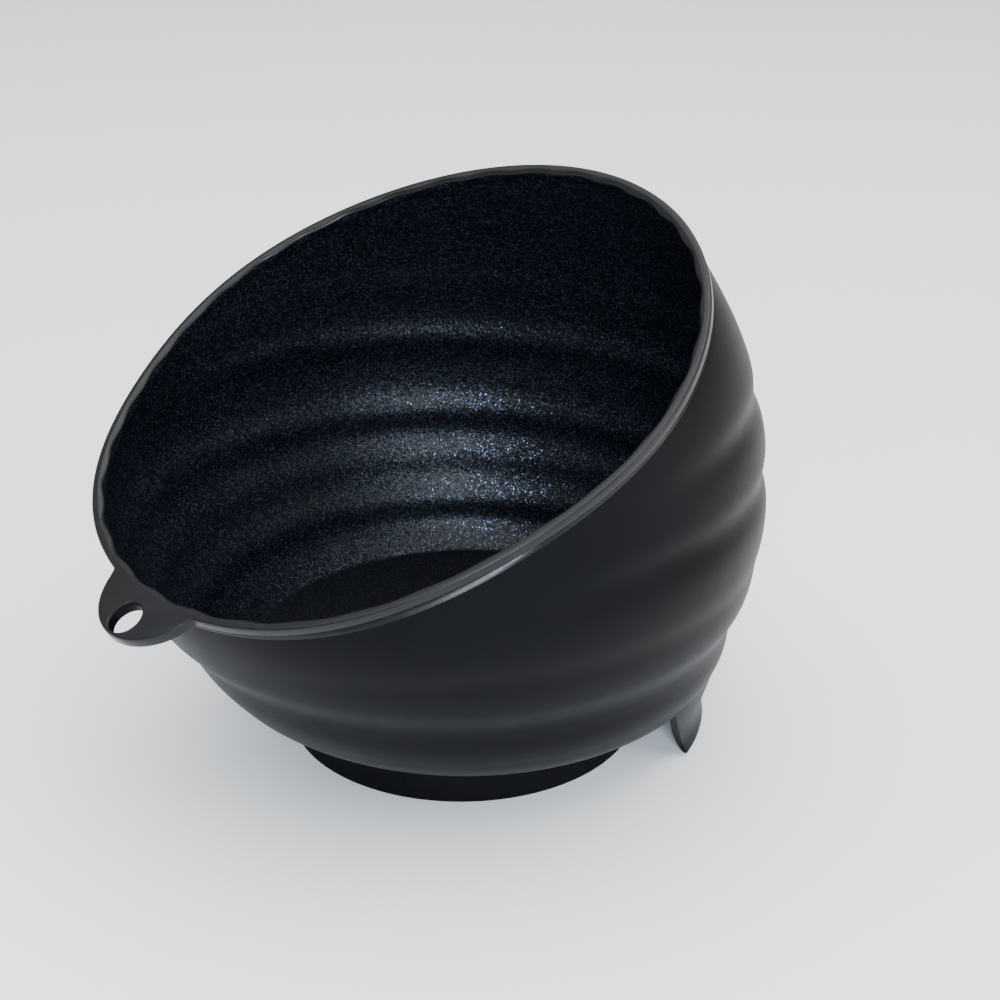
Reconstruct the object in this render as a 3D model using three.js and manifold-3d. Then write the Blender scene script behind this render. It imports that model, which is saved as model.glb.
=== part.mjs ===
import * as THREE from 'three';
import { mergeVertices } from 'three/addons/utils/BufferGeometryUtils.js';
import Module from 'manifold-3d';

// Hair colour bowl: a moulded bowl with a slanted mouth, pressed into a round rubber base.
// Millimetres, +Z up. The base stands on z = 0 about the origin.
// -Y is the low front with the hanging tab, +Y is the tall back, and X = 0 is the mirror plane.

// Overall
const TOTAL_HEIGHT = 125;
const BASE_DIAMETER = 83;
const FIT_GAP = 0.3;

// Slanted mouth
const MOUTH_TILT = THREE.MathUtils.degToRad(28);
const MOUTH_CENTRE_Y = -19.2;
const MOUTH_CENTRE_Z = 91.7;

// Front and back outlines of the outer wall: height, reach to the back, reach to the front
const WALL_STATIONS = [
  [10, 46.5, 44.3],
  [15, 56.9, 53.6],
  [22, 62.0, 61.5],
  [30, 62.4, 66.2],
  [40, 65.0, 73.5],
  [60, 66.4, 82.9],
  [80, 64.5, 81.8],
  [100, 57.1, 82.1],
  [132, 37.2, 71.0],
];
const WALL = 1.6;
const CORNER_EXTRA = 2.2;
const CORNER_HEIGHT = 25;
const FLOOR_Z = 16;
const BODY_BOTTOM_Z = 10;

// Horizontal rings pressed into the wall, and the matching ridges inside: height, depth
const RINGS = [
  [22.5, 0.6],
  [34.5, 0.9],
  [49.5, 0.4],
  [68.5, 1.2],
  [85.5, 1.1],
];
const RIDGES = [
  [28, 1.0],
  [39.5, 1.1],
  [51.5, 1.2],
  [71.5, 1.2],
  [87.5, 0.4],
];
const RING_HALF_WIDTH = 4;
const RING_FADE_START = 9;
const RING_FADE_END = 26;
const LEVEL_STEP = 4;
const PLAIN_STEP = 8;

// Rim
const LIP_REACH = 0.9;
const LIP_HEIGHT = 2.0;
const RIM_EDGE = 0.5;
const RIM_LOBES = 34;
const LOBE_DEPTH = 0.5;
const STEPS_PER_LOBE = 4;

// Hanging tab, a round lug lying in the plane of the mouth
const TAB_RADIUS = 15;
const TAB_CENTRE = 67.75;
const TAB_THICKNESS = 2.4;
const TAB_HOLE_RADIUS = 3.7;
const TAB_HOLE_CENTRE = 78;
const TAB_BLEND_ANGLE = THREE.MathUtils.degToRad(14.5);
const TAB_BLEND_START = 74.5;
const TAB_BLEND_PULL = 1.7;
const TAB_BEVEL = 0.25;

// Heel under the tall back: its foot, its waist and its root are arcs of three circles
const HEEL_FOOT = [0, 3.5, 55.3];
const HEEL_WAIST = [4, 4.0, 54.3];
const HEEL_TOP = 20.5;
const HEEL_ROOT_INSET = 0.8;
const HEEL_FOOT_THICKNESS = 1.0;
const HEEL_THICKNESS = 2.0;
const HEEL_FULL_Z = 8;
const HEEL_CLEARANCE = 0.5;
const HEEL_HALF_ANGLE = 68;
const HEEL_ROOT_ANGLE = 81;
const HEEL_ROUNDING = 0.5;
const HEEL_STEPS = 40;

// Spigot under the floor and the rubber base it presses into
const SPIGOT_OUTER = 36.7;
const SPIGOT_INNER = 33.5;
const RECESS_Z = 13.5;
const BASE_FLOOR = 3;
const BASE_EDGE = 1.2;
const BASE_DRAFT = 0.5;

const SEGMENTS = 60;
const CUT_SIZE = 240;
const SEARCH_RANGE = [40, 100];
const SEARCH_STEPS = 30;

const wasm = await Module();
wasm.setup();

function solidFrom(geometry) {
  const plain = geometry.index ? geometry.clone() : geometry;
  plain.deleteAttribute('normal');
  plain.deleteAttribute('uv');
  const merged = mergeVertices(plain, 1e-4);
  return new wasm.Manifold(new wasm.Mesh({
    numProp: 3,
    vertProperties: new Float32Array(merged.attributes.position.array),
    triVerts: new Uint32Array(merged.index.array),
  }));
}

function geometryFrom(solid) {
  const mesh = solid.getMesh();
  const geometry = new THREE.BufferGeometry();
  geometry.setAttribute('position', new THREE.BufferAttribute(mesh.vertProperties.slice(), 3));
  geometry.setIndex(new THREE.BufferAttribute(mesh.triVerts.slice(), 1));
  geometry.computeVertexNormals();
  return geometry;
}

// A closed skin over rings of points that all have the same count, capped by a fan at both ends.
function stackedRings(rings) {
  const count = rings[0].length;
  const points = rings.flat();
  const faces = [];
  for (let k = 0; k < rings.length - 1; k += 1) {
    for (let i = 0; i < count; i += 1) {
      const j = (i + 1) % count;
      const a = k * count + i;
      const b = k * count + j;
      faces.push(a, b, b + count, a, b + count, a + count);
    }
  }
  const last = (rings.length - 1) * count;
  for (let i = 1; i < count - 1; i += 1) {
    faces.push(0, i + 1, i);
    faces.push(last, last + i, last + i + 1);
  }
  const geometry = new THREE.BufferGeometry().setFromPoints(points);
  geometry.setIndex(faces);
  return geometry;
}

// A ring-shaped skin whose cross-sections, each a closed loop, follow one another right round.
function closedLoop(sections) {
  const count = sections[0].length;
  const total = sections.length;
  const faces = [];
  for (let k = 0; k < total; k += 1) {
    const next = (k + 1) % total;
    for (let i = 0; i < count; i += 1) {
      const j = (i + 1) % count;
      faces.push(k * count + i, k * count + j, next * count + j);
      faces.push(k * count + i, next * count + j, next * count + i);
    }
  }
  const geometry = new THREE.BufferGeometry().setFromPoints(sections.flat());
  geometry.setIndex(faces);
  return geometry;
}

// Mouth plane: its own axes, and the height of the plane above any point
const mouthCentre = new THREE.Vector3(0, MOUTH_CENTRE_Y, MOUTH_CENTRE_Z);
const mouthUp = new THREE.Vector3(0, -Math.sin(MOUTH_TILT), Math.cos(MOUTH_TILT));
const mouthFront = new THREE.Vector3(0, -Math.cos(MOUTH_TILT), -Math.sin(MOUTH_TILT));
const mouthSide = new THREE.Vector3(1, 0, 0);

function mouthPoint(reach, angle, depth) {
  return mouthCentre.clone()
    .addScaledVector(mouthFront, reach * Math.cos(angle))
    .addScaledVector(mouthSide, reach * Math.sin(angle))
    .addScaledVector(mouthUp, -depth);
}

function depthBelowMouth(point) {
  return mouthCentre.clone().sub(point).dot(mouthUp);
}

// A smooth pair of values over height, from [height, value, value] stations
function through(stations) {
  const heights = stations.map((station) => station[0]);
  const values = stations.flatMap((station) => [station[1], station[2]]);
  return new THREE.CubicInterpolant(heights, values, 2);
}

const outline = through(WALL_STATIONS);

// Outer wall: every level is a circle through the front and back outlines
function level(z) {
  const [back, front] = outline.evaluate(z);
  return { centre: (back - front) / 2, radius: (back + front) / 2 };
}

function pressed(z, rings) {
  const press = ([height, depth]) => depth * Math.exp(-(((z - height) / RING_HALF_WIDTH) ** 2));
  return rings.reduce((sum, ring) => sum + press(ring), 0);
}

function wallPoint(z, angle, inset, rings) {
  const { centre, radius } = level(z);
  const reach = radius - inset;
  const point = new THREE.Vector3(reach * Math.cos(angle), centre + reach * Math.sin(angle), z);
  const fade = THREE.MathUtils.smoothstep(depthBelowMouth(point), RING_FADE_START, RING_FADE_END);
  const pushed = reach - fade * pressed(z, rings);
  return new THREE.Vector3(pushed * Math.cos(angle), centre + pushed * Math.sin(angle), z);
}

function insetAt(z) {
  const corner = Math.max(0, 1 - (z - FLOOR_Z) / CORNER_HEIGHT);
  return WALL + CORNER_EXTRA * corner * corner;
}

// Levels for a skin: three across each ring, one between rings, and plain steps above them
function levelsFor(start, rings) {
  const heights = rings.map((ring) => ring[0]);
  const levels = [start];
  heights.forEach((h, i) => {
    levels.push(h - LEVEL_STEP, h, h + LEVEL_STEP);
    const middle = (h + heights[i + 1]) / 2;
    if (middle - h > LEVEL_STEP * 1.5) {
      levels.push(middle);
    }
  });
  const top = heights[heights.length - 1];
  for (let z = top + LEVEL_STEP + PLAIN_STEP; z < TOTAL_HEIGHT + PLAIN_STEP; z += PLAIN_STEP) {
    levels.push(z);
  }
  return levels;
}

function skin(start, insetOf, rings) {
  const loops = levelsFor(start, rings).map((z) => {
    const loop = [];
    for (let i = 0; i < SEGMENTS; i += 1) {
      const angle = (i / SEGMENTS) * 2 * Math.PI;
      loop.push(wallPoint(z, angle, insetOf(z), rings));
    }
    return loop;
  });
  return solidFrom(stackedRings(loops));
}

// Everything above the mouth plane
function aboveMouth() {
  const block = new THREE.BoxGeometry(CUT_SIZE, CUT_SIZE, CUT_SIZE);
  block.translate(0, 0, CUT_SIZE / 2);
  block.rotateX(MOUTH_TILT);
  block.translate(0, MOUTH_CENTRE_Y, MOUTH_CENTRE_Z);
  return solidFrom(block);
}

// Distance from the mouth centre to the outer wall, measured in the mouth plane
function rimReach(angle) {
  let [near, far] = SEARCH_RANGE;
  for (let i = 0; i < SEARCH_STEPS; i += 1) {
    const middle = (near + far) / 2;
    const point = mouthPoint(middle, angle, 0);
    const { centre, radius } = level(point.z);
    if (Math.hypot(point.x, point.y - centre) < radius) {
      near = middle;
    } else {
      far = middle;
    }
  }
  return near;
}

// Rim: an outward lip with a softened top edge and a scalloped inner edge
function rimRing() {
  const sections = [];
  const steps = RIM_LOBES * STEPS_PER_LOBE;
  for (let i = 0; i < steps; i += 1) {
    const angle = (i / steps) * 2 * Math.PI;
    const reach = rimReach(angle);
    const lobe = LOBE_DEPTH * (0.5 + 0.5 * Math.cos(RIM_LOBES * angle));
    const inner = reach - WALL - lobe;
    const outer = reach + LIP_REACH;
    sections.push([
      mouthPoint(inner + RIM_EDGE, angle, 0),
      mouthPoint(outer - RIM_EDGE, angle, 0),
      mouthPoint(outer, angle, RIM_EDGE),
      mouthPoint(outer, angle, LIP_HEIGHT),
      mouthPoint(reach - WALL / 2, angle, LIP_HEIGHT + LIP_REACH),
      mouthPoint(inner, angle, LIP_HEIGHT - RIM_EDGE),
      mouthPoint(inner, angle, RIM_EDGE),
    ]);
  }
  return solidFrom(closedLoop(sections));
}

// Tab: the outside of a disc blended into the rim, drawn with +x to the front in the mouth plane
function tab() {
  const rootReach = rimReach(TAB_BLEND_ANGLE);
  const rootX = rootReach * Math.cos(TAB_BLEND_ANGLE);
  const rootY = rootReach * Math.sin(TAB_BLEND_ANGLE);
  const startX = TAB_BLEND_START - TAB_CENTRE;
  const startY = Math.sqrt(TAB_RADIUS ** 2 - startX ** 2);
  const sweep = Math.atan2(startY, startX);
  const cornerX = rootX + TAB_BLEND_PULL;
  const cornerY = startY + TAB_BLEND_PULL;
  const shape = new THREE.Shape();
  shape.moveTo(TAB_CENTRE, -rootY);
  shape.lineTo(rootX, -rootY);
  shape.quadraticCurveTo(cornerX, -cornerY, TAB_BLEND_START, -startY);
  shape.absarc(TAB_CENTRE, 0, TAB_RADIUS, -sweep, sweep, false);
  shape.quadraticCurveTo(cornerX, cornerY, rootX, rootY);
  shape.lineTo(TAB_CENTRE, rootY);
  shape.closePath();
  const hole = new THREE.Path();
  hole.absarc(TAB_HOLE_CENTRE, 0, TAB_HOLE_RADIUS, 0, 2 * Math.PI, true);
  shape.holes.push(hole);
  const plate = new THREE.ExtrudeGeometry(shape, {
    depth: TAB_THICKNESS - 2 * TAB_BEVEL,
    bevelEnabled: true,
    bevelThickness: TAB_BEVEL,
    bevelSize: TAB_BEVEL,
    bevelOffset: -TAB_BEVEL,
    bevelSegments: 1,
    curveSegments: 10,
  });
  plate.translate(0, 0, TAB_BEVEL - TAB_THICKNESS);
  const place = new THREE.Matrix4().makeBasis(mouthFront, mouthSide, mouthUp);
  place.setPosition(mouthCentre);
  plate.applyMatrix4(place);
  return solidFrom(plate);
}

// The heel is thin at its foot and thickens upwards
function heelThickness(z) {
  return THREE.MathUtils.lerp(HEEL_FOOT_THICKNESS, HEEL_THICKNESS, Math.min(1, z / HEEL_FULL_Z));
}

// Heel: an arc wall standing just clear of the table, its ends sloping up into the bowl
function heel() {
  const sections = [];
  const spread = HEEL_ROOT_ANGLE - HEEL_HALF_ANGLE;
  const root = level(HEEL_TOP);
  const arcs = through([HEEL_FOOT, HEEL_WAIST, [HEEL_TOP, root.centre, root.radius - HEEL_ROOT_INSET]]);
  const lowerEdge = (degrees) => {
    const past = Math.abs(degrees) - HEEL_HALF_ANGLE;
    const rise = (HEEL_TOP * past) / spread;
    const soft = (rise + Math.hypot(rise, HEEL_ROUNDING)) / 2;
    return HEEL_CLEARANCE + Math.max(0, soft - HEEL_ROUNDING / 6);
  };
  const corner = (z, inset, angle) => {
    const [centre, radius] = arcs.evaluate(z);
    const reach = radius - inset;
    return new THREE.Vector3(reach * Math.sin(angle), centre + reach * Math.cos(angle), z);
  };
  for (let i = 1; i < HEEL_STEPS; i += 1) {
    const degrees = HEEL_ROOT_ANGLE * ((2 * i) / HEEL_STEPS - 1);
    const angle = THREE.MathUtils.degToRad(degrees);
    const low = lowerEdge(degrees);
    const middle = (low + HEEL_TOP) / 2;
    sections.push([
      corner(low, heelThickness(low), angle),
      corner(low, 0, angle),
      corner(middle, 0, angle),
      corner(HEEL_TOP, 0, angle),
      corner(HEEL_TOP, HEEL_THICKNESS, angle),
      corner(middle, heelThickness(middle), angle),
    ]);
  }
  return solidFrom(stackedRings(sections));
}

function lathe(points) {
  const profile = points.map(([r, z]) => new THREE.Vector2(r, z));
  profile.push(profile[0].clone());
  const geometry = new THREE.LatheGeometry(profile, SEGMENTS);
  geometry.rotateX(Math.PI / 2);
  return solidFrom(geometry);
}

function bowlBody() {
  const outer = skin(BODY_BOTTOM_Z, () => 0, RINGS);
  const hollow = skin(FLOOR_Z, insetAt, RIDGES);
  const spigotTip = BASE_FLOOR + FIT_GAP;
  const spigot = lathe([
    [SPIGOT_INNER, spigotTip],
    [SPIGOT_OUTER - RIM_EDGE, spigotTip],
    [SPIGOT_OUTER, spigotTip + RIM_EDGE],
    [SPIGOT_OUTER, BODY_BOTTOM_Z + 1],
    [SPIGOT_INNER, BODY_BOTTOM_Z + 1],
  ]);
  const recess = new THREE.CylinderGeometry(SPIGOT_INNER, SPIGOT_INNER, RECESS_Z, SEGMENTS);
  recess.rotateX(Math.PI / 2);
  recess.translate(0, 0, RECESS_Z / 2);
  return outer
    .add(heel())
    .add(tab())
    .subtract(hollow)
    .subtract(aboveMouth())
    .add(rimRing())
    .add(spigot)
    .subtract(solidFrom(recess));
}

function rubberBase() {
  const radius = BASE_DIAMETER / 2;
  const top = BODY_BOTTOM_Z - FIT_GAP;
  const socket = SPIGOT_OUTER + FIT_GAP;
  return lathe([
    [0, 0],
    [radius - BASE_EDGE, 0],
    [radius - BASE_EDGE / 4, BASE_EDGE / 4],
    [radius, BASE_EDGE],
    [radius - BASE_DRAFT, top - RIM_EDGE],
    [radius - BASE_DRAFT - RIM_EDGE, top],
    [socket, top],
    [socket, BASE_FLOOR],
    [0, BASE_FLOOR],
  ]);
}

function piece(name, solid, material) {
  const mesh = new THREE.Mesh(geometryFrom(solid), new THREE.MeshStandardMaterial(material));
  mesh.name = name;
  return mesh;
}

const bowl = new THREE.Group();
bowl.name = 'hair_color_bowl';
bowl.add(piece('bowl_body', bowlBody(), { color: 0x14161b, roughness: 0.42, metalness: 0 }));
bowl.add(piece('rubber_base', rubberBase(), { color: 0x0b0b0d, roughness: 0.8, metalness: 0 }));

export default bowl;
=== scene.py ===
"""Hair colour bowl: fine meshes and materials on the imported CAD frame."""

import math

import bmesh
import bpy
import numpy as np
from mathutils import Matrix, Vector


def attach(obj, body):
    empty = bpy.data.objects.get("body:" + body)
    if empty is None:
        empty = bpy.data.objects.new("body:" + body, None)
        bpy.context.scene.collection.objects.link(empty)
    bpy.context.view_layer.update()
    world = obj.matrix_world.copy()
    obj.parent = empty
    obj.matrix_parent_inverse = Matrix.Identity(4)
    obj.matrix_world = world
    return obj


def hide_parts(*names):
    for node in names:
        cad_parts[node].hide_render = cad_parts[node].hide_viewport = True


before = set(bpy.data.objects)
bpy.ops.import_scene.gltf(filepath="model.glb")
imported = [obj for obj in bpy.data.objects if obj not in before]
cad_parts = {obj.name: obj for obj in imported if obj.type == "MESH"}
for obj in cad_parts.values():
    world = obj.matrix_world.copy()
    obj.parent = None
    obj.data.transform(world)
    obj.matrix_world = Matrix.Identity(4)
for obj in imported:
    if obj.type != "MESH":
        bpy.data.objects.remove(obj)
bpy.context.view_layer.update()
MM = 0.001

# The bowl's own dimensions, in millimetres, as in the CAD part
MOUTH_TILT = math.radians(28)
MOUTH_CENTRE = np.array([0.0, -19.2, 91.7])
WALL_STATIONS = np.array(
    [
        (10, 46.5, 44.3),
        (15, 56.9, 53.6),
        (22, 62.0, 61.5),
        (30, 62.4, 66.2),
        (40, 65.0, 73.5),
        (60, 66.4, 82.9),
        (80, 64.5, 81.8),
        (100, 57.1, 82.1),
        (132, 37.2, 71.0),
    ]
)
WALL = 1.6
CORNER_EXTRA = 2.2
CORNER_HEIGHT = 25
FLOOR_Z = 16
BODY_BOTTOM_Z = 10
RINGS = ((22.5, 0.6), (34.5, 0.9), (49.5, 0.4), (68.5, 1.2), (85.5, 1.1))
RIDGES = ((28, 1.0), (39.5, 1.1), (51.5, 1.2), (71.5, 1.2), (87.5, 0.4))
RING_HALF_WIDTH = 4
RING_FADE = (9, 26)
LIP_REACH = 0.9
LIP_HEIGHT = 2.0
RIM_LOBES = 34
LOBE_DEPTH = 0.5
TAB_RADIUS = 15.0
TAB_CENTRE = 67.75
TAB_THICKNESS = 2.4
TAB_HOLE_RADIUS = 3.7
TAB_HOLE_CENTRE = 78.0
TAB_FILLET = 2.5
TAB_SWELL = 4
HEEL_FOOT = (0, 3.5, 55.3)
HEEL_WAIST = (4, 4.0, 54.3)
HEEL_TOP = 20.5
HEEL_ROOT_INSET = 0.8
HEEL_FOOT_THICKNESS = 1.0
HEEL_THICKNESS = 2.0
HEEL_FULL_Z = 8
HEEL_CLEARANCE = 0.5
HEEL_HALF_ANGLE = 68
HEEL_ROOT_ANGLE = 81
HEEL_ROUNDING = 0.5
HEEL_STEPS = 400
HEEL_EDGE = 0.35
HEEL_EDGE_DIP = 0.3
HEEL_ROW_PARTS = (0.06, 0.12, 0.18, 0.25, 0.34, 0.45, 0.6, 0.8)
HEEL_INNER_PART = 0.3
SPIGOT_OUTER = 36.7
SPIGOT_INNER = 33.5
RECESS_Z = 13.5
FIT_GAP = 0.3
BASE_RADIUS = 41.5
BASE_FLOOR = 3
BASE_DRAFT = 0.5
BASE_EDGE = 0.5
BASE_EDGE_STEPS = 6
BASE_SIDE_STEPS = 8
BASE_TOP_EDGE = ((0.08, 0.28), (0.28, 0.08), (0.6, 0.0))
SOCKET_BEVEL = 0.4
BASE_UNDERSIDE_RADII = (10, 20, 30, 39)
BASE_STEPS = 240

# The skin stays this far inside the facets of the CAD body
INSIDE_CAD = 0.25

# How finely the bowl is drawn, where its wall's rows start and end above the bottom or
# below the lip, and the heights between which its mouth lies
FINE_ANGLE = math.radians(20)
FINE_COLUMNS = 240
COARSE_COLUMNS = 420
WALL_ROWS = 170
OUTER_START = 1
OUTER_END_DROP = 1.0
INNER_START_DROP = 1.2
INNER_END = 0.25
SEARCH_RANGE = (40.0, 131.0)
SEARCH_STEPS = 40

# Small rounded edges of the bowl, as pairs that follow one another along the skin
SPIGOT_BEVEL = 0.5
BOTTOM_EDGE = ((1.4, 0.0), (0.6, 0.08), (0.15, 0.35))
LIP_UNDERSIDE_PARTS = (0.12, 0.35, 0.6, 0.8)
LIP_UNDERSIDE_SAG = 0.45
LIP_LOWER_EDGE = ((0.28, 0.0), (0.1, 0.08), (0.0, 0.3))
LIP_UPPER_EDGE = ((0.0, 0.55), (0.03, 0.3), (0.13, 0.13), (0.3, 0.03), (0.55, 0.0))
LIP_TOP_PARTS = (0.75, 0.5, 0.25, 0.0)
LIP_TOP_INSET = 0.5
LIP_TOP_MARGIN = 0.1
SCALLOP_EDGE = ((0.1, 0.02), (0.35, 0.17), (0.7, 0.45), (0.93, 0.7), (1.0, 0.95))
SCALLOP_FOOT = ((0.92, 1.25), (0.6, 1.6), (0.25, 1.95), (0.05, 2.4))
FLOOR_PULLS = (0.25, 0.6, 1.2, 4, 12, 24, 36, 46)
HOLE_EDGE = ((0.3, 0.02), (0.08, -0.1), (0.0, -0.32))
HOLE_TOOL_REACH = 2
HOLE_STEPS = 96
SHARP_ANGLE = 38

# Pearl grain inside the bowl
FLECKS_PER_METRE = 2900
FLECK_COLOUR = (0.050, 0.066, 0.110)
FLECK_TILT = 0.18

# Stage, in metres and watts: place, aim, size, power, colour
STAGE_RADII = (0.4, 0.9, 1.6)
STAGE_STEPS = 96
STAGE_DROP = 0.0002
WORLD_STRENGTH = 0.55
WHITE = (1, 1, 1)
LIGHTS = {
    "overhead": ((0, 0, 1.6), (0, 0, 0), (2.4, 2.4), 72, WHITE),
    "key": ((0.62, -0.52, 0.43), (0, 0, 0.05), (0.30, 0.12), 10, (0.76, 0.88, 1)),
    "side": ((0.75, 0.35, 0.35), (0, 0, 0.06), (0.5, 0.5), 4.5, WHITE),
}

# Camera: where it stands, where it looks, and its lens for a 1000 pixel wide frame
CAMERA_AZIMUTH = math.radians(50.1)
CAMERA_DISTANCE = 0.367
CAMERA_HEIGHT = 0.219
CAMERA_PITCH = math.radians(24.1)
FOCAL_PIXELS = 1745
PAN_PIXELS = 41.4
FRAME_PIXELS = 1000
SENSOR_WIDTH = 36

MOUTH_UP = np.array([0.0, -math.sin(MOUTH_TILT), math.cos(MOUTH_TILT)])
MOUTH_FRONT = np.array([0.0, -math.cos(MOUTH_TILT), -math.sin(MOUTH_TILT)])
MOUTH_SIDE = np.array([1.0, 0.0, 0.0])


# ---------------------------------------------------------------- shape


def through(stations, z):
    """A smooth pair of values at height z, from rows of height, value, value."""
    z = np.asarray(z, float)
    t = stations[:, 0]
    v = stations[:, 1:]
    i1 = np.clip(np.searchsorted(t, z, side="right"), 1, len(t) - 1)
    i0 = i1 - 1
    before = np.where(i0 == 0, i1, i0 - 1)
    after = np.where(i1 == len(t) - 1, i0, np.minimum(i1 + 1, len(t) - 1))
    half = (t[i1] - t[i0]) / 2
    wp = half / (t[i0] - t[before])
    wn = half / (t[after] - t[i1])
    p = np.clip((z - t[i0]) / (t[i1] - t[i0]), 0, 1)
    sp = -wp * p**3 + 2 * wp * p**2 - wp * p
    s0 = (1 + wp) * p**3 + (-1.5 - 2 * wp) * p**2 + (-0.5 + wp) * p + 1
    s1 = (-1 - wn) * p**3 + (1.5 + wn) * p**2 + 0.5 * p
    sn = wn * p**3 - wn * p**2
    weights = np.stack([sp, s0, s1, sn])[..., None]
    values = (weights * np.stack([v[before], v[i0], v[i1], v[after]])).sum(0)
    return values[..., 0], values[..., 1]


def level(z):
    """Centre and radius of the outer wall's circle at height z."""
    back, front = through(WALL_STATIONS, z)
    return (back - front) / 2, (back + front) / 2


def smoothstep(x, low, high):
    p = np.clip((x - low) / (high - low), 0, 1)
    return p * p * (3 - 2 * p)


def wall_points(z, angle, inset=0.0, rings=()):
    """Points of a wall skin, with its rings pressed in, for arrays z and angle of one shape."""
    centre, radius = level(z)
    reach = radius - inset
    place = np.stack([reach * np.cos(angle), centre + reach * np.sin(angle), z], -1)
    below = (MOUTH_CENTRE - place) @ MOUTH_UP
    fade = smoothstep(below, *RING_FADE)
    pressed = sum(depth * np.exp(-(((z - h) / RING_HALF_WIDTH) ** 2)) for h, depth in rings)
    reach = reach - fade * pressed
    return np.stack([reach * np.cos(angle), centre + reach * np.sin(angle), z], -1)


def inset_at(z):
    corner = np.maximum(0, 1 - (z - FLOOR_Z) / CORNER_HEIGHT)
    return WALL + CORNER_EXTRA * corner * corner


def height_at_depth(angle, depth, inset=0.0):
    """Height at which a skin without rings lies that deep below the mouth plane."""
    low = np.full_like(angle, SEARCH_RANGE[0])
    high = np.full_like(angle, SEARCH_RANGE[1])
    for _ in range(SEARCH_STEPS):
        z = (low + high) / 2
        centre, radius = level(z)
        y = centre + (radius - inset) * np.sin(angle)
        below = (MOUTH_CENTRE[1] - y) * MOUTH_UP[1] + (MOUTH_CENTRE[2] - z) * MOUTH_UP[2]
        deeper = below > depth
        low = np.where(deeper, z, low)
        high = np.where(deeper, high, z)
    return (low + high) / 2


def mouth_points(reach, angle, depth):
    reach = np.asarray(reach, float)
    return (
        MOUTH_CENTRE
        + (reach * np.cos(angle))[..., None] * MOUTH_FRONT
        + (reach * np.sin(angle))[..., None] * MOUTH_SIDE
        - depth * MOUTH_UP
    )


def column_angles():
    """Angles round the bowl, closer together across the tab at the front."""
    front = -math.pi / 2
    fine = np.linspace(-FINE_ANGLE, FINE_ANGLE, FINE_COLUMNS, endpoint=False)
    coarse = np.linspace(FINE_ANGLE, 2 * math.pi - FINE_ANGLE, COARSE_COLUMNS, endpoint=False)
    return front + np.concatenate([fine, coarse])


def smooth_larger(a, b, width):
    h = np.maximum(width - np.abs(a - b), 0) / width
    return np.maximum(a, b) + h * h * width / 4


def lip_reach(reach, phi):
    """Outer edge of the rim: a plain lip, swelling into the round tab at the front."""
    across = TAB_CENTRE * np.sin(phi)
    inside = (np.abs(across) < TAB_RADIUS) & (np.cos(phi) > 0)
    chord = np.sqrt(np.where(inside, TAB_RADIUS**2 - across**2, 0))
    disc = np.where(inside, TAB_CENTRE * np.cos(phi) + chord, 0)
    return smooth_larger(reach + LIP_REACH - INSIDE_CAD, disc - INSIDE_CAD, TAB_FILLET)


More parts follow.
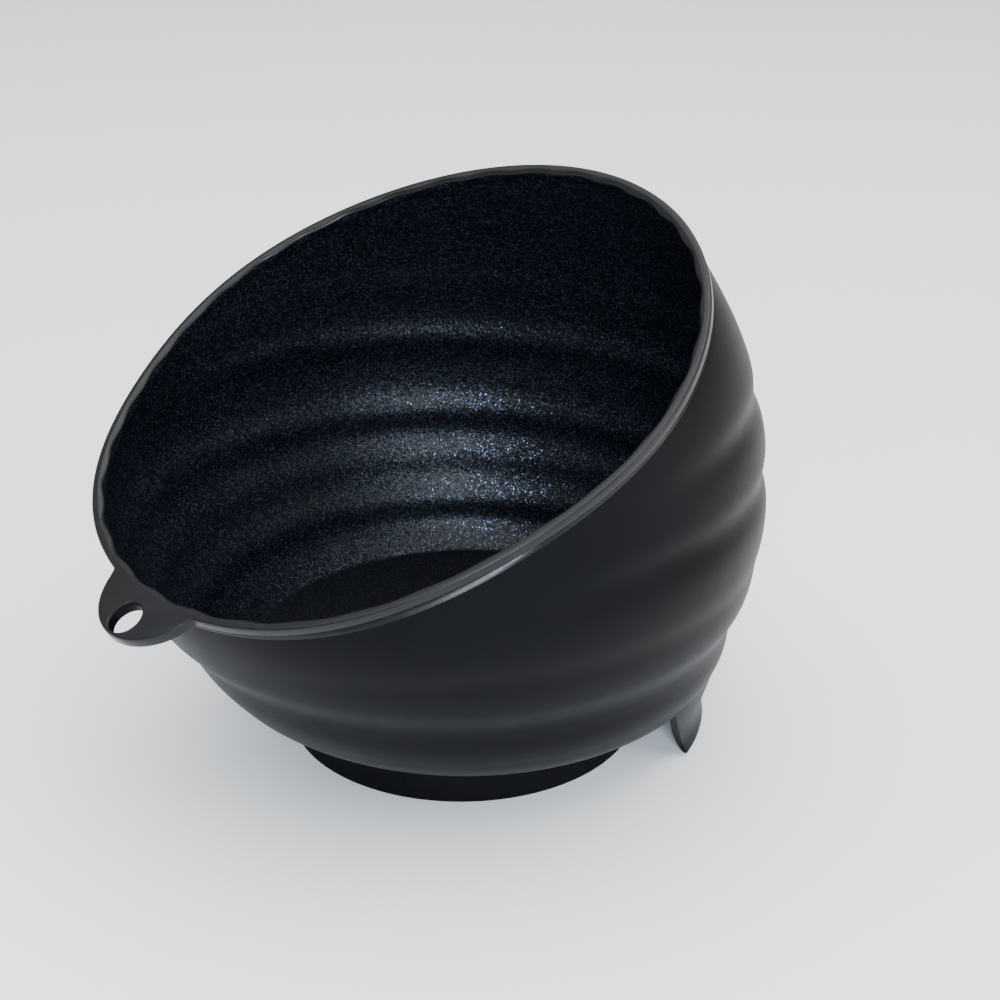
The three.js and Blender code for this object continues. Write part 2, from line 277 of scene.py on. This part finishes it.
def bowl_rows(theta):
    """The skin's rows: from under the floor, up outside, over the rim and down inside.

    Returns the rows and the name of the finish on the strip that ends at each row."""
    rows = []
    names = []

    def add(points, name):
        rows.append(points)
        names.append(name)

    def circle(radius, z, centre=0.0):
        ones = np.ones_like(theta)
        return np.stack([radius * np.cos(theta), centre + radius * np.sin(theta), z * ones], -1)

    tip = BASE_FLOOR + FIT_GAP
    for radius, z in (
        (SPIGOT_INNER, RECESS_Z),
        (SPIGOT_INNER, tip),
        (SPIGOT_OUTER - SPIGOT_BEVEL, tip),
        (SPIGOT_OUTER, tip + SPIGOT_BEVEL),
        (SPIGOT_OUTER, BODY_BOTTOM_Z),
    ):
        add(circle(radius, z), "outside")
    bottom_centre, bottom_radius = level(float(BODY_BOTTOM_Z))
    for pull, rise in BOTTOM_EDGE:
        add(circle(bottom_radius - pull, BODY_BOTTOM_Z + rise, bottom_centre), "outside")

    top = height_at_depth(theta, LIP_HEIGHT + OUTER_END_DROP)
    for s in np.linspace(0, 1, WALL_ROWS):
        z = BODY_BOTTOM_Z + OUTER_START + (top - BODY_BOTTOM_Z - OUTER_START) * s
        add(wall_points(z, theta, INSIDE_CAD, RINGS), "outside")

    edge_z = height_at_depth(theta, 0.0)
    centre, radius = level(edge_z)
    edge = np.stack([radius * np.cos(theta), centre + radius * np.sin(theta), edge_z], -1)
    offset = edge - MOUTH_CENTRE
    phi = np.arctan2(offset @ MOUTH_SIDE, offset @ MOUTH_FRONT)
    reach = np.linalg.norm(offset, axis=1)
    outer = lip_reach(reach, phi)
    span = outer - reach
    swell = smoothstep(span, LIP_REACH, LIP_REACH + TAB_SWELL)
    under = LIP_HEIGHT + (TAB_THICKNESS - LIP_HEIGHT) * swell
    for part in LIP_UNDERSIDE_PARTS:
        drop = under[:, None] + (LIP_UNDERSIDE_SAG * (1 - part) ** 3)
        add(mouth_points(reach + span * part, phi, drop), "rim")
    for pull, lift in LIP_LOWER_EDGE:
        add(mouth_points(outer - pull, phi, under[:, None] - lift), "rim")
    for pull, depth in LIP_UPPER_EDGE:
        add(mouth_points(outer - pull, phi, depth), "rim")
    for part in LIP_TOP_PARTS:
        flat = reach - LIP_TOP_INSET + (span - LIP_TOP_MARGIN) * part
        add(mouth_points(flat, phi, 0.0), "rim")

    lobe = 0.5 + 0.5 * np.cos(RIM_LOBES * phi)
    inner = reach - WALL - LOBE_DEPTH * lobe
    land = reach - WALL / 2
    add(mouth_points(land, phi, 0.0), "rim")
    for part, depth in SCALLOP_EDGE:
        add(mouth_points(land + (inner - land) * part, phi, depth), "rim")
    step = inner - (reach - WALL)
    for part, depth in SCALLOP_FOOT:
        add(mouth_points(reach - WALL + step * part, phi, depth), "inside")

    start = height_at_depth(theta, LIP_HEIGHT + INNER_START_DROP, WALL)
    for s in np.linspace(0, 1, WALL_ROWS):
        z = start + (FLOOR_Z + INNER_END - start) * s
        add(wall_points(z, theta, inset_at(z), RIDGES), "inside")
    floor_centre, floor_radius = level(float(FLOOR_Z))
    floor_radius = floor_radius - inset_at(float(FLOOR_Z))
    for pull in FLOOR_PULLS:
        add(circle(floor_radius - pull, FLOOR_Z, floor_centre), "floor")
    return rows, names


FINISHES = ("outside", "rim", "inside", "floor")


def mesh_object(name, vertices, faces):
    mesh = bpy.data.meshes.new(name)
    mesh.from_pydata([tuple(v) for v in vertices], [], faces)
    mesh.validate()
    obj = bpy.data.objects.new(name, mesh)
    bpy.context.scene.collection.objects.link(obj)
    return obj


def bowl_object():
    theta = column_angles()
    rows, names = bowl_rows(theta)
    count = len(theta)
    points = np.concatenate(rows) * MM
    first = Vector((0, 0, RECESS_Z * MM))
    last = Vector((0, float(level(float(FLOOR_Z))[0]) * MM, FLOOR_Z * MM))
    vertices = [tuple(p) for p in points] + [first, last]
    faces = []
    finish = []
    for k in range(len(rows) - 1):
        index = FINISHES.index(names[k + 1])
        a = k * count
        for i in range(count):
            j = (i + 1) % count
            faces.append((a + i, a + j, a + count + j, a + count + i))
            finish.append(index)
    under = len(points)
    top = under + 1
    a = (len(rows) - 1) * count
    for i in range(count):
        j = (i + 1) % count
        faces.append((under, j, i))
        finish.append(FINISHES.index("outside"))
        faces.append((top, a + i, a + j))
        finish.append(FINISHES.index("floor"))
    obj = mesh_object("bowl_body_skin", vertices, faces)
    obj.data.polygons.foreach_set("material_index", finish)
    return obj


def heel_thickness(z):
    """The heel is thin at its foot and thickens upwards."""
    growth = min(1, z / HEEL_FULL_Z)
    return HEEL_FOOT_THICKNESS + (HEEL_THICKNESS - HEEL_FOOT_THICKNESS) * growth


def heel_loop(angle, low, arcs):
    """One closed cross-section of the heel: down its inner face, round the foot and up outside."""

    def at(part):
        return low * (1 - part) + HEEL_TOP * part

    middle = (low + HEEL_TOP) / 2
    thin = heel_thickness(low)
    dip = HEEL_EDGE * HEEL_EDGE_DIP
    inner = at(HEEL_INNER_PART)
    corners = [
        (HEEL_THICKNESS, HEEL_TOP),
        (heel_thickness(middle), middle),
        (heel_thickness(inner), inner),
        (thin, low + HEEL_EDGE),
        (thin - dip, low + dip),
        (thin - HEEL_EDGE, low),
        (HEEL_EDGE, low),
        (dip, low + dip),
        (0, low + HEEL_EDGE),
    ]
    corners += [(0, at(part)) for part in HEEL_ROW_PARTS]
    corners.append((0, HEEL_TOP))
    loop = []
    for inset, z in corners:
        z = min(z, HEEL_TOP)
        centre, radius = through(arcs, z)
        reach = radius - inset
        loop.append((reach * math.sin(angle), centre + reach * math.cos(angle), z))
    return loop


def heel_object():
    """The arc heel, with softened lower edges and ends that slope up into the bowl."""
    root_centre, root_radius = level(float(HEEL_TOP))
    root = (HEEL_TOP, root_centre, root_radius - HEEL_ROOT_INSET)
    arcs = np.array([HEEL_FOOT, HEEL_WAIST, root])
    spread = HEEL_ROOT_ANGLE - HEEL_HALF_ANGLE
    loops = []
    for i in range(1, HEEL_STEPS):
        degrees = HEEL_ROOT_ANGLE * (2 * i / HEEL_STEPS - 1)
        rise = HEEL_TOP * (abs(degrees) - HEEL_HALF_ANGLE) / spread
        low = (rise + math.hypot(rise, HEEL_ROUNDING)) / 2 - HEEL_ROUNDING / 6
        low = HEEL_CLEARANCE + max(0.0, low)
        loops.append(heel_loop(math.radians(degrees), low, arcs))
    count = len(loops[0])
    vertices = np.array(loops).reshape(-1, 3) * MM
    faces = []
    for k in range(len(loops) - 1):
        for i in range(count):
            j = (i + 1) % count
            a = k * count
            faces.append((a + i, a + j, a + count + j, a + count + i))
    faces.append(tuple(range(count))[::-1])
    faces.append(tuple((len(loops) - 1) * count + i for i in range(count)))
    return mesh_object("heel_tool", vertices, faces)


def lathe_object(name, profile, steps, place=None):
    """A closed body turned about z from (radius, height) pairs that start and end on the axis."""
    place = place or Matrix.Identity(4)
    profile = np.array(profile, float) * MM
    vertices = [Vector((0, 0, profile[0][1])), Vector((0, 0, profile[-1][1]))]
    body = profile[1:-1]
    for r, z in body:
        for i in range(steps):
            a = 2 * math.pi * i / steps
            vertices.append(Vector((r * math.cos(a), r * math.sin(a), z)))
    faces = []
    for k in range(len(body) - 1):
        a = 2 + k * steps
        for i in range(steps):
            j = (i + 1) % steps
            faces.append((a + i, a + j, a + steps + j, a + steps + i))
    last = 2 + (len(body) - 1) * steps
    for i in range(steps):
        j = (i + 1) % steps
        faces.append((0, 2 + j, 2 + i))
        faces.append((1, last + i, last + j))
    return mesh_object(name, [place @ v for v in vertices], faces)


def hole_tool():
    """A spool that cuts the tab's hole and softens its edges."""
    upper = [(TAB_HOLE_RADIUS + pull, z) for pull, z in HOLE_EDGE]
    lower = [(r, -z - TAB_THICKNESS) for r, z in upper]
    wide = upper[0][0]
    above = HOLE_TOOL_REACH
    below = -HOLE_TOOL_REACH - TAB_THICKNESS
    profile = [(0, below), (wide, below), *lower, *upper[::-1], (wide, above), (0, above)]
    origin = (MOUTH_CENTRE + TAB_HOLE_CENTRE * MOUTH_FRONT) * MM
    rows = [(MOUTH_SIDE[k], MOUTH_FRONT[k], MOUTH_UP[k], origin[k]) for k in range(3)]
    place = Matrix([*rows, (0, 0, 0, 1)])
    return lathe_object("hole_tool", profile, HOLE_STEPS, place)


def outward(obj):
    """Turns every face of a closed body to look out."""
    bm = bmesh.new()
    bm.from_mesh(obj.data)
    bmesh.ops.recalc_face_normals(bm, faces=bm.faces)
    bm.to_mesh(obj.data)
    bm.free()


def combine(obj, tool, operation):
    outward(tool)
    modifier = obj.modifiers.new(operation, "BOOLEAN")
    modifier.operation = operation
    modifier.solver = "MANIFOLD"
    modifier.object = tool
    graph = bpy.context.evaluated_depsgraph_get()
    result = bpy.data.meshes.new_from_object(obj.evaluated_get(graph))
    obj.modifiers.clear()
    old = obj.data
    obj.data = result
    bpy.data.meshes.remove(old)
    mesh = tool.data
    bpy.data.objects.remove(tool)
    bpy.data.meshes.remove(mesh)


def smooth(obj, degrees):
    obj.data.shade_smooth()
    obj.data.set_sharp_from_angle(angle=math.radians(degrees))


# ---------------------------------------------------------------- materials


class Nodes:
    """A short way to write a material's node tree."""

    def __init__(self, name):
        self.material = bpy.data.materials.new(name)
        self.material.use_nodes = True
        self.tree = self.material.node_tree
        self.shader = self.tree.nodes["Principled BSDF"]

    def add(self, kind, **values):
        node = self.tree.nodes.new(kind)
        for key, value in values.items():
            setattr(node, key, value)
        return node

    def link(self, out, into):
        self.tree.links.new(out, into)

    def coordinates(self):
        return self.add("ShaderNodeTexCoord").outputs["Object"]

    def noise(self, scale, detail=2.0, roughness=0.5):
        node = self.add("ShaderNodeTexNoise")
        node.inputs["Scale"].default_value = scale
        node.inputs["Detail"].default_value = detail
        node.inputs["Roughness"].default_value = roughness
        self.link(self.coordinates(), node.inputs["Vector"])
        return node.outputs["Fac"]

    def ramp(self, source, low, high, first, second):
        node = self.add("ShaderNodeValToRGB")
        node.color_ramp.elements[0].position = low
        node.color_ramp.elements[1].position = high
        node.color_ramp.elements[0].color = first
        node.color_ramp.elements[1].color = second
        self.link(source, node.inputs["Fac"])
        return node.outputs["Color"]

    def spread(self, source, low, high, first, second):
        node = self.add("ShaderNodeMapRange")
        names = ("From Min", "From Max", "To Min", "To Max")
        for key, value in zip(names, (low, high, first, second)):
            node.inputs[key].default_value = value
        self.link(source, node.inputs["Value"])
        return node.outputs["Result"]

    def bump(self, source, distance, strength=1.0, under=None):
        node = self.add("ShaderNodeBump")
        node.inputs["Distance"].default_value = distance
        node.inputs["Strength"].default_value = strength
        self.link(source, node.inputs["Height"])
        if under is not None:
            self.link(under, node.inputs["Normal"])
        return node.outputs["Normal"]


def outside_material():
    """Satin black plastic with a fine grain and slightly uneven gloss."""
    n = Nodes("bowl_outside")
    tone = n.noise(26, 3, 0.55)
    n.link(
        n.ramp(tone, 0.3, 0.7, (0.0024, 0.0027, 0.0033, 1), (0.0031, 0.0034, 0.0041, 1)),
        n.shader.inputs["Base Color"],
    )
    grain = n.noise(2600, 2, 0.6)
    handling = n.noise(60, 4, 0.6)
    mixed = n.add("ShaderNodeMath", operation="MULTIPLY_ADD")
    n.link(handling, mixed.inputs[0])
    mixed.inputs[1].default_value = 0.7
    n.link(grain, mixed.inputs[2])
    n.link(n.spread(mixed.outputs[0], 0.5, 1.2, 0.36, 0.47), n.shader.inputs["Roughness"])
    n.link(n.bump(grain, 0.00003, 0.6), n.shader.inputs["Normal"])
    n.shader.inputs["Specular IOR Level"].default_value = 0.05
    return n.material


def rim_material():
    """The same plastic, a little glossier where it is rolled over and handled, with a lighter base
    colour than the outside: a painted highlight along the whole rim.
    """
    n = Nodes("bowl_rim")
    tone = n.noise(40, 3, 0.5)
    # Painted highlight: the base colour here is about twice the outside's so the rim reads lighter;
    # the noise only varies the tone at random
    n.link(
        n.ramp(tone, 0.3, 0.7, (0.0045, 0.0050, 0.0060, 1), (0.0065, 0.0070, 0.0080, 1)),
        n.shader.inputs["Base Color"],
    )
    grain = n.noise(2200, 2, 0.5)
    wear = n.noise(180, 4, 0.65)
    n.link(n.spread(wear, 0.35, 0.7, 0.27, 0.40), n.shader.inputs["Roughness"])
    n.link(n.bump(grain, 0.00002, 0.5), n.shader.inputs["Normal"])
    n.shader.inputs["Specular IOR Level"].default_value = 0.22
    return n.material


def leaning_normal(n, cells):
    """The surface's normal, tipped a different way in each cell."""
    tilt = n.add("ShaderNodeVectorMath", operation="MULTIPLY_ADD")
    n.link(cells.outputs["Color"], tilt.inputs[0])
    tilt.inputs[1].default_value = (2 * FLECK_TILT,) * 3
    tilt.inputs[2].default_value = (-FLECK_TILT,) * 3
    leaning = n.add("ShaderNodeVectorMath", operation="ADD")
    n.link(n.add("ShaderNodeNewGeometry").outputs["Normal"], leaning.inputs[0])
    n.link(tilt.outputs[0], leaning.inputs[1])
    unit = n.add("ShaderNodeVectorMath", operation="NORMALIZE")
    n.link(leaning.outputs[0], unit.inputs[0])
    return unit.outputs[0]


def inside_material(name, fleck_strength, roughness, bump):
    """Navy-black with a fine pearl grain: flecks, each tilted its own way, that catch the light."""
    n = Nodes(name)
    cells = n.add("ShaderNodeTexVoronoi")
    cells.inputs["Scale"].default_value = FLECKS_PER_METRE
    n.link(n.coordinates(), cells.inputs["Vector"])
    separate = n.add("ShaderNodeSeparateColor")
    n.link(cells.outputs["Color"], separate.inputs[0])
    fleck = n.spread(separate.outputs[0], 0.78, 0.98, 0.0, 1.0)
    tone = n.noise(30, 3, 0.5)
    base = n.ramp(tone, 0.3, 0.7, (0.0016, 0.0018, 0.0028, 1), (0.0023, 0.0026, 0.0040, 1))
    mix = n.add("ShaderNodeMix", data_type="RGBA")
    n.link(fleck, mix.inputs["Factor"])
    n.link(base, mix.inputs["A"])
    mix.inputs["B"].default_value = (*(c * fleck_strength for c in FLECK_COLOUR), 1)
    n.link(mix.outputs["Result"], n.shader.inputs["Base Color"])
    n.link(n.spread(fleck, 0.0, 1.0, 0.0, 0.9), n.shader.inputs["Metallic"])
    shine = n.spread(fleck, 0.0, 1.0, roughness, roughness * 0.75)
    n.link(shine, n.shader.inputs["Roughness"])
    leaning = leaning_normal(n, cells)
    grain = n.noise(1500, 3, 0.7)
    n.link(n.bump(grain, bump, 1.0, leaning), n.shader.inputs["Normal"])
    n.shader.inputs["Specular IOR Level"].default_value = 0.22
    return n.material


def rubber_material():
    """Matt black rubber."""
    n = Nodes("base_rubber")
    tone = n.noise(50, 4, 0.6)
    n.link(
        n.ramp(tone, 0.3, 0.7, (0.0026, 0.0026, 0.0030, 1), (0.0042, 0.0042, 0.0047, 1)),
        n.shader.inputs["Base Color"],
    )
    grain = n.noise(1400, 3, 0.7)
    n.link(n.spread(grain, 0.3, 0.7, 0.62, 0.80), n.shader.inputs["Roughness"])
    n.link(n.bump(grain, 0.00006, 0.7), n.shader.inputs["Normal"])
    n.shader.inputs["Specular IOR Level"].default_value = 0.05
    return n.material


# ---------------------------------------------------------------- pieces


def make_bowl():
    bowl = bowl_object()
    for material in (
        outside_material(),
        rim_material(),
        inside_material("bowl_inside", 1.0, 0.40, 0.00006),
        inside_material("bowl_floor", 0.35, 0.45, 0.00003),
    ):
        bowl.data.materials.append(material)
    outward(bowl)
    combine(bowl, heel_object(), "UNION")
    combine(bowl, hole_tool(), "DIFFERENCE")
    smooth(bowl, SHARP_ANGLE)
    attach(bowl, "root")
    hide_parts("bowl_body")


def make_base():
    """The rubber cup that the bowl stands in."""
    radius = BASE_RADIUS
    top = BODY_BOTTOM_Z - FIT_GAP
    socket = SPIGOT_OUTER + FIT_GAP
    profile = [(0, 0), *((r, 0) for r in BASE_UNDERSIDE_RADII)]
    for k in range(BASE_EDGE_STEPS + 1):
        a = math.pi / 2 * k / BASE_EDGE_STEPS
        r = radius - BASE_EDGE + BASE_EDGE * math.sin(a)
        profile.append((r, BASE_EDGE - BASE_EDGE * math.cos(a)))
    rise = top - BASE_TOP_EDGE[-1][0] - BASE_EDGE
    for k in range(1, BASE_SIDE_STEPS + 1):
        part = k / BASE_SIDE_STEPS
        profile.append((radius - BASE_DRAFT * part, BASE_EDGE + rise * part))
    side = radius - BASE_DRAFT
    profile += [(side - pull, top - drop) for pull, drop in BASE_TOP_EDGE]
    profile += [(socket + SOCKET_BEVEL, top), (socket, top - SOCKET_BEVEL)]
    profile += [(socket, BASE_FLOOR), (0, BASE_FLOOR)]
    base = lathe_object("rubber_base_skin", profile, BASE_STEPS)
    outward(base)
    base.data.materials.append(rubber_material())
    smooth(base, SHARP_ANGLE)
    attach(base, "root")
    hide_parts("rubber_base")


# ---------------------------------------------------------------- stage


def make_floor():
    """A pale, flat, round sheet under the bowl."""
    vertices = [(0, 0, -STAGE_DROP)]
    for r in STAGE_RADII:
        for i in range(STAGE_STEPS):
            a = 2 * math.pi * i / STAGE_STEPS
            vertices.append((r * math.cos(a), r * math.sin(a), -STAGE_DROP))
    faces = [(0, 1 + i, 1 + (i + 1) % STAGE_STEPS) for i in range(STAGE_STEPS)]
    for k in range(len(STAGE_RADII) - 1):
        a = 1 + k * STAGE_STEPS
        for i in range(STAGE_STEPS):
            j = (i + 1) % STAGE_STEPS
            faces.append((a + i, a + STAGE_STEPS + i, a + STAGE_STEPS + j, a + j))
    floor = mesh_object("studio_floor", vertices, faces)
    n = Nodes("studio_floor")
    n.link(
        n.ramp(n.noise(3, 2), 0.2, 0.8, (0.86, 0.86, 0.865, 1), (0.88, 0.88, 0.885, 1)),
        n.shader.inputs["Base Color"],
    )
    n.shader.inputs["Roughness"].default_value = 0.75
    floor.data.materials.append(n.material)


def area_light(name, place, aim, size, power, colour):
    data = bpy.data.lights.new(name, "AREA")
    data.shape = "RECTANGLE"
    data.size, data.size_y = size
    data.energy = power
    data.color = colour
    light = bpy.data.objects.new(name, data)
    light.location = place
    light.rotation_euler = (Vector(aim) - Vector(place)).to_track_quat("-Z", "Y").to_euler()
    bpy.context.scene.collection.objects.link(light)


def make_lights():
    world = bpy.data.worlds.new("studio")
    world.use_nodes = True
    background = world.node_tree.nodes["Background"]
    background.inputs["Color"].default_value = (*WHITE, 1)
    background.inputs["Strength"].default_value = WORLD_STRENGTH
    bpy.context.scene.world = world
    for name, setting in LIGHTS.items():
        area_light(name, *setting)


def make_camera():
    """Looks at the bowl from its right, 50 degrees round from the low front, and from above."""
    data = bpy.data.cameras.new("camera")
    data.sensor_width = SENSOR_WIDTH
    data.lens = SENSOR_WIDTH * FOCAL_PIXELS / FRAME_PIXELS
    data.clip_start = 0.01
    camera = bpy.data.objects.new("camera", data)
    x = CAMERA_DISTANCE * math.sin(CAMERA_AZIMUTH)
    y = -CAMERA_DISTANCE * math.cos(CAMERA_AZIMUTH)
    camera.location = (x, y, CAMERA_HEIGHT)
    heading = CAMERA_AZIMUTH - math.atan(PAN_PIXELS / FOCAL_PIXELS)
    camera.rotation_euler = (math.pi / 2 - CAMERA_PITCH, 0, heading)
    bpy.context.scene.collection.objects.link(camera)
    bpy.context.scene.camera = camera


make_camera()
make_lights()
make_floor()
make_bowl()
make_base()
